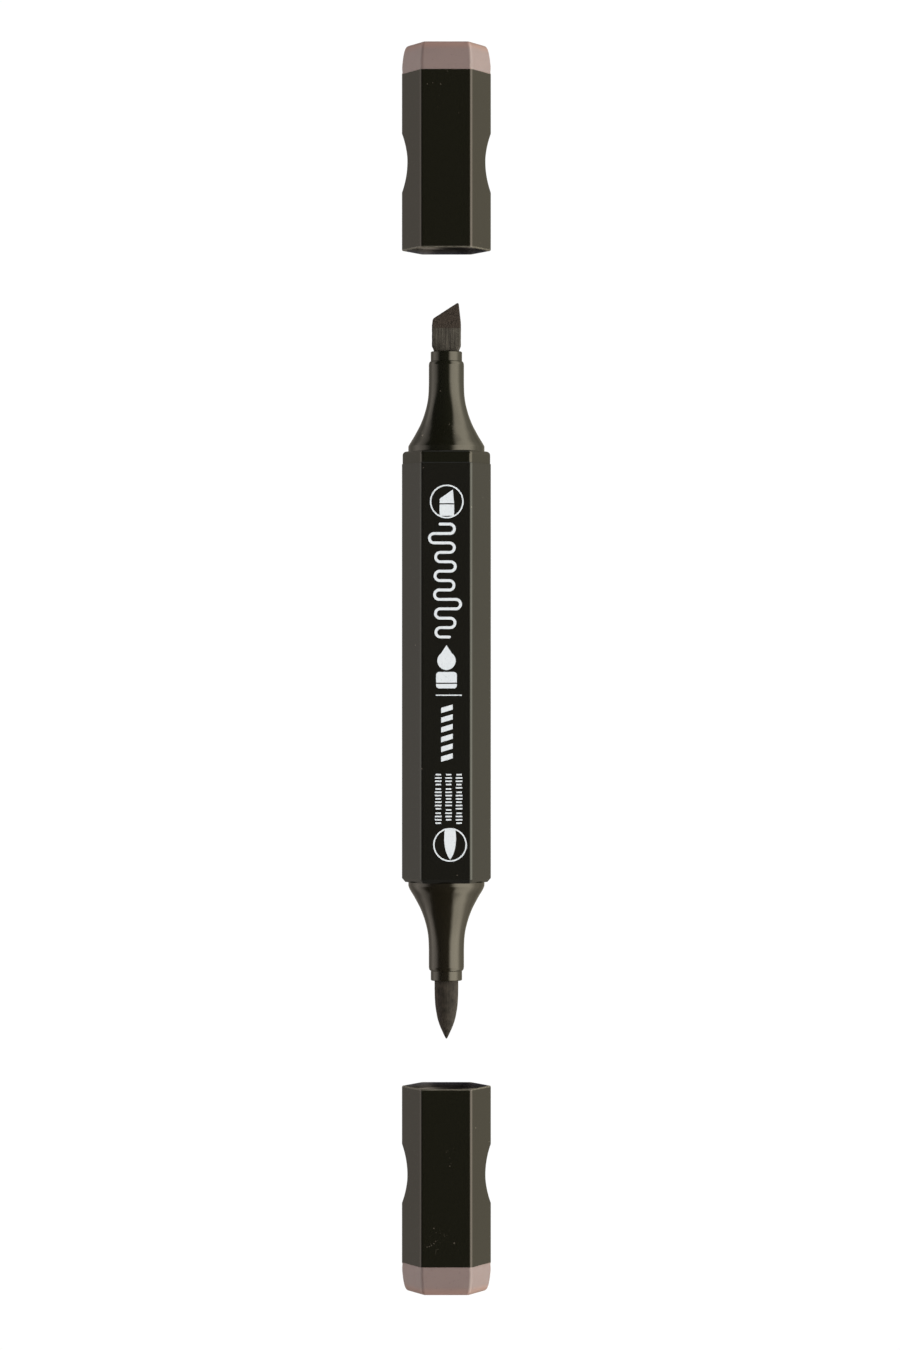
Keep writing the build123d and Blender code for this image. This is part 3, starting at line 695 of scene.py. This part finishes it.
def brush_radius(z):
    """Smooth curve through the outline of the tip, straight lines beyond it."""
    i = max(1, next(k for k, row in enumerate(BRUSH_OUTLINE) if row[0] >= z))
    (z0, r0), (z1, r1) = BRUSH_OUTLINE[i - 1], BRUSH_OUTLINE[i]
    t = (z - z0) / (z1 - z0)
    if z1 > BRUSH_STRAIGHT:
        return r0 + (r1 - r0) * t
    z_before, r_before = BRUSH_OUTLINE[max(0, i - 2)]
    z_after, r_after = BRUSH_OUTLINE[i + 1]
    slope0 = (r1 - r_before) / (z1 - z_before) * (z1 - z0)
    slope1 = (r_after - r0) / (z_after - z0) * (z1 - z0)
    return (
        (2 * t**3 - 3 * t**2 + 1) * r0
        + (t**3 - 2 * t**2 + t) * slope0
        + (-2 * t**3 + 3 * t**2) * r1
        + (t**3 - t**2) * slope1
    )


def brush_nib():
    count = 180
    body_ridge = grooves(count, seed=9, pitch=6.0)
    tip_ridge = grooves(count, seed=12, pitch=5.0)
    levels = [44.80 + 0.06 * k for k in range(14)]
    levels += [45.65 + 0.16 * k for k in range(60)]
    levels += [BRUSH_SEAT, 56.5, 60, 66, 72, 79.8, 80.1, 80.4]
    rng = random.Random(8)
    rings = []
    for z in levels:
        radius = brush_radius(z)
        body = smooth((z - 46) / 6)
        ring = []
        for i in range(count):
            if z < BRUSH_SEAT:
                turned = tip_ridge[(i + int(z * 1.3)) % count]
                wave = body_ridge[i] * body + turned * (1 - body)
                inset = min(0.030, radius * 0.12) * wave
                # loose fibres stand out a little
                inset -= rng.uniform(0.0, 1.0) * min(0.008, radius * 0.04)
            else:
                inset = 0.02 * body_ridge[i]
            ring.append(polar(radius - inset, i, count, z))
        rings.append(ring)
    skin("brush_nib_felt", rings, "brush_nib", "brush_felt")


# reservoir
RESERVOIR_BOTTOM, RESERVOIR_TOP = 76.0, 146.0
RESERVOIR_RADIUS = 4.90
RESERVOIR_BEVEL = 0.25
# radius, z: up-facing floor of the round socket, down its wall and out over the bottom face
ROUND_SOCKET = ((2.14, 80.45), (2.14, 78.0), (2.14, 76.04), (2.22, 76.0), (3.4, 76.03))
# x scale, y scale, z: in over the top face and down the wall of the slot socket
SLOT_SOCKET = (
    (1.45, 1.6, 145.97), (1.03, 1.03, 146.0), (1, 1, 145.95), (1, 1, 144.0), (1, 1, 141.55),
)


def reservoir():
    """Bundle of fibres drawn into a rod, with a socket at each end for the nib's tail."""
    count = 240
    ridge = grooves(count, seed=21, pitch=5.0)
    slot_shape = rounded_rectangle(count, half_x=2.23, half_y=1.23, corner=0.51)

    def outer(z, inset=0.0):
        twist = int(2 * math.sin(z * 0.35))
        return [
            polar(RESERVOIR_RADIUS - inset - 0.06 * ridge[(i + twist) % count], i, count, z)
            for i in range(count)
        ]

    low, high = RESERVOIR_BOTTOM + RESERVOIR_BEVEL, RESERVOIR_TOP - RESERVOIR_BEVEL
    rings = [[polar(radius, i, count, z) for i in range(count)] for radius, z in ROUND_SOCKET]
    rings.append(outer(RESERVOIR_BOTTOM, RESERVOIR_BEVEL))
    rings += [outer(z) for z in [low, *levels_after(low, high, 45)]]
    rings.append(outer(RESERVOIR_TOP, RESERVOIR_BEVEL))
    for scale_x, scale_y, z in SLOT_SOCKET:
        rings.append([(x * scale_x, y * scale_y, z) for x, y, _, _ in slot_shape])
    skin("ink_reservoir_fibre", rings, "ink_reservoir", "reservoir_fibre")


chisel_nib()
brush_nib()
reservoir()


# ------------------------------------------------------------------ camera, floor, cards
def add_camera():
    data = bpy.data.cameras.new("camera")
    data.sensor_width = 36.0
    data.lens = 120.0
    data.clip_start = 0.01
    data.clip_end = 50.0
    camera = place("camera", data)
    camera.location = (0.0006408, -0.801, 0.10953)
    camera.rotation_euler = (math.pi / 2, 0, 0)
    scene.camera = camera


def add_floor():
    """A white floor that only the camera sees... other rays pass through it."""
    mesh = bpy.data.meshes.new("floor")
    half = 3
    corners = [(-half, -half, 0), (half, -half, 0), (half, half, 0), (-half, half, 0)]
    mesh.from_pydata(corners, [], [(0, 1, 2, 3)])
    floor = place("floor", mesh)
    floor.location.z = -0.00002
    material = bpy.data.materials.new("floor_white")
    net = NodeNet(material)
    output = net.new("ShaderNodeOutputMaterial")
    glow = net.new("ShaderNodeEmission", {"Color": (1, 1, 1, 1), "Strength": WHITE_LEVEL})
    clear = net.new("ShaderNodeBsdfTransparent")
    seen = net.new("ShaderNodeLightPath").outputs["Is Camera Ray"]
    shader = net.new("ShaderNodeMixShader", {0: seen, 1: clear.outputs[0], 2: glow.outputs[0]})
    net.feed(output, {0: shader.outputs[0]})
    mesh.materials.append(material)


def add_card(name, energy, spread, colour, turn):
    """A level sun that lights the matt surfaces; the polished faces don't mirror it. Angles are
    in degrees, and a turn of 0 shines from the camera's side."""
    data = bpy.data.lights.new(name, "SUN")
    data.energy = energy
    data.angle = math.radians(spread)
    data.color = colour
    card = place(name, data)
    card.rotation_euler = (math.radians(90), 0, math.radians(turn))
    card.visible_glossy = False


add_camera()
add_floor()
# from the far left, then a weaker one from the camera's side
add_card("fill", energy=2.6, spread=60, colour=(1.0, 0.97, 0.94), turn=-108)
add_card("front_fill", energy=0.91, spread=50, colour=(1.0, 0.85, 0.82), turn=0)

# ------------------------------------------------------------------ studio on the world
COOL = (1.0, 0.90, 0.775)
WARM = (1.0, 0.905, 0.70)
GREY = (1.0, 0.97, 0.90)
# azimuth in degrees from the camera side (right is positive), level, tint
LEVELS = [
    (-180, 0.30, COOL), (-150, 0.34, COOL), (-134, 0.41, COOL), (-127, 0.44, COOL),
    (-112, 0.97, COOL), (-98, 1.68, COOL), (-82, 1.64, COOL), (-66, 1.24, COOL),
    (-56, 0.55, COOL), (-47, 0.10, GREY), (-40, 0.05, GREY), (8, 0.05, GREY),
    (14, 0.40, WARM), (21, 2.10, WARM), (27, 3.60, WARM), (36, 4.50, WARM),
    (60, 4.70, WARM), (72, 4.40, WARM), (82, 3.40, WARM), (91, 2.10, WARM),
    (100, 1.30, WARM), (112, 1.03, WARM), (121, 0.71, WARM), (128, 0.57, WARM),
    (136, 0.47, WARM), (180, 0.30, WARM),
]
MAX_LEVEL = 6.0  # levels are stored as shares of this
MAX_LEAN = 40.0  # leans too
# how far a box's upright edge leans to the middle: elevation, lean, in degrees
LEAN_RIGHT_UP = [(0, 0), (12, 8), (34, 20), (56, 21), (90, 22)]
LEAN_RIGHT_DOWN = [(0, 0), (20, 7), (44, 13), (58, 17), (90, 20)]
LEAN_LEFT_UP = [(0, 0), (7, 8), (27, 33), (46, 31), (90, 31)]
LEAN_LEFT_DOWN = [(0, 0), (8, 8), (36, 28), (49, 28), (90, 28)]
# share of the horizon's level by height, 0 to 1 from the horizon to the pole
BOX_HEIGHT = [(0.0, 1.0), (0.12, 0.97), (0.40, 0.80), (0.60, 0.80), (0.72, 0.30), (1.0, 0.0)]
LEFT_HEIGHT = [(0.0, 1.0), (0.12, 1.0), (0.33, 1.0), (0.45, 0.80), (0.55, 0.58), (1.0, 0.50)]
CEILING = [(0.74, 0.0), (0.88, (0.09, 0.09, 0.094)), (1.0, (0.12, 0.12, 0.125))]


def leaned_azimuth(net, azimuth, elevation, side):
    """Azimuth as a 0 to 1 factor, shifted so that the boxes lean."""
    up = net.calc("MAXIMUM", elevation, 0.0)
    down = net.calc("MAXIMUM", net.times(elevation, -1.0), 0.0)

    def lean(up_table, down_table):
        halves = [
            net.ramp(net.over(part, 90.0), [(e / 90.0, v / MAX_LEAN) for e, v in table])
            for part, table in ((up, up_table), (down, down_table))
        ]
        return net.times(net.plus(*halves), MAX_LEAN)

    lean_right = lean(LEAN_RIGHT_UP, LEAN_RIGHT_DOWN)
    lean_left = lean(LEAN_LEFT_UP, LEAN_LEFT_DOWN)
    # the lean fades out towards the backdrop, so that the far edges stay in place
    fade_right = net.ramp(net.over(azimuth, 180.0), [(0.0, 1.0), (0.62, 1.0), (0.95, 0.0)])
    fade_left = net.ramp(
        net.over(net.times(azimuth, -1.0), 180.0), [(0.0, 1.0), (0.45, 1.0), (0.75, 0.0)]
    )
    shift_right = net.times(net.times(lean_right, fade_right), -1.0)
    shift_left = net.times(lean_left, fade_left)
    shift = net.plus(
        net.times(shift_right, side), net.times(shift_left, net.minus(1.0, side))
    )
    leaned = net.plus(azimuth, shift)
    # a direction right of the middle never leans past it, nor one on the left
    right = net.times(net.calc("MAXIMUM", leaned, 0.0), side)
    left = net.times(net.calc("MINIMUM", leaned, 0.0), net.minus(1.0, side))
    return net.plus(net.over(net.plus(right, left), 360.0), 0.5)


def build_studio():
    """Dark behind the camera, a tall leaning soft box on the right, a dimmer one on the left,
    a grey backdrop behind the object and a pale ceiling. The camera itself sees white."""
    world = bpy.data.worlds.new("studio")
    scene.world = world
    net = NodeNet(world)
    output = net.new("ShaderNodeOutputWorld")
    direction = net.new("ShaderNodeTexCoord").outputs["Generated"]
    parts = net.new("ShaderNodeSeparateXYZ", {"Vector": direction}).outputs
    azimuth = net.calc("ARCTAN2", parts["X"], net.times(parts["Y"], -1.0))
    azimuth = net.times(azimuth, 180.0 / math.pi)
    elevation = net.times(net.calc("ARCSINE", parts["Z"]), 180.0 / math.pi)
    side = net.calc("GREATER_THAN", azimuth, 0.0)  # 1 on the right
    around = leaned_azimuth(net, azimuth, elevation, side)
    strip = net.ramp(around, [
        ((angle + 180.0) / 360.0, tuple(level / MAX_LEVEL * c for c in tint))
        for angle, level, tint in LEVELS
    ])
    height = net.over(net.calc("ABSOLUTE", elevation), 90.0)
    light = net.mix(1.0, strip, net.ramp(height, BOX_HEIGHT), "MULTIPLY")
    # the left box is the shorter one
    shorter = net.times(net.ramp(height, LEFT_HEIGHT), net.minus(1.0, side))
    light = net.mix(1.0, light, net.plus(shorter, side), "MULTIPLY")
    # the pale ceiling is only overhead: below the floor it is nearly dark
    ceiling = net.ramp(height, CEILING)
    overhead = net.plus(net.times(net.calc("GREATER_THAN", elevation, 0.0), 0.85), 0.15)
    ceiling = net.mix(1.0, ceiling, overhead, "MULTIPLY")
    light = net.mix(1.0, light, ceiling, "ADD")
    # the matt surfaces get the boxes' light without the warm tint of their mirror images
    ray = net.new("ShaderNodeLightPath").outputs
    cast = net.mix(side, (1.08, 1.11, 1.25, 1.0), (1.27, 1.42, 1.80, 1.0))
    neutral = net.mix(1.0, light, cast, "MULTIPLY")
    light = net.mix(ray["Is Diffuse Ray"], light, neutral)
    studio = net.new("ShaderNodeBackground", {"Color": light, "Strength": MAX_LEVEL})
    white = net.new("ShaderNodeBackground", {"Color": (1, 1, 1, 1), "Strength": WHITE_LEVEL})
    shader = net.new(
        "ShaderNodeMixShader",
        {0: ray["Is Camera Ray"], 1: studio.outputs[0], 2: white.outputs[0]},
    )
    net.feed(output, {0: shader.outputs[0]})


build_studio()

scene.view_settings.view_transform = "Standard"
scene.view_settings.look = "None"
scene.view_settings.exposure = 0.0
scene.view_settings.gamma = 1.0
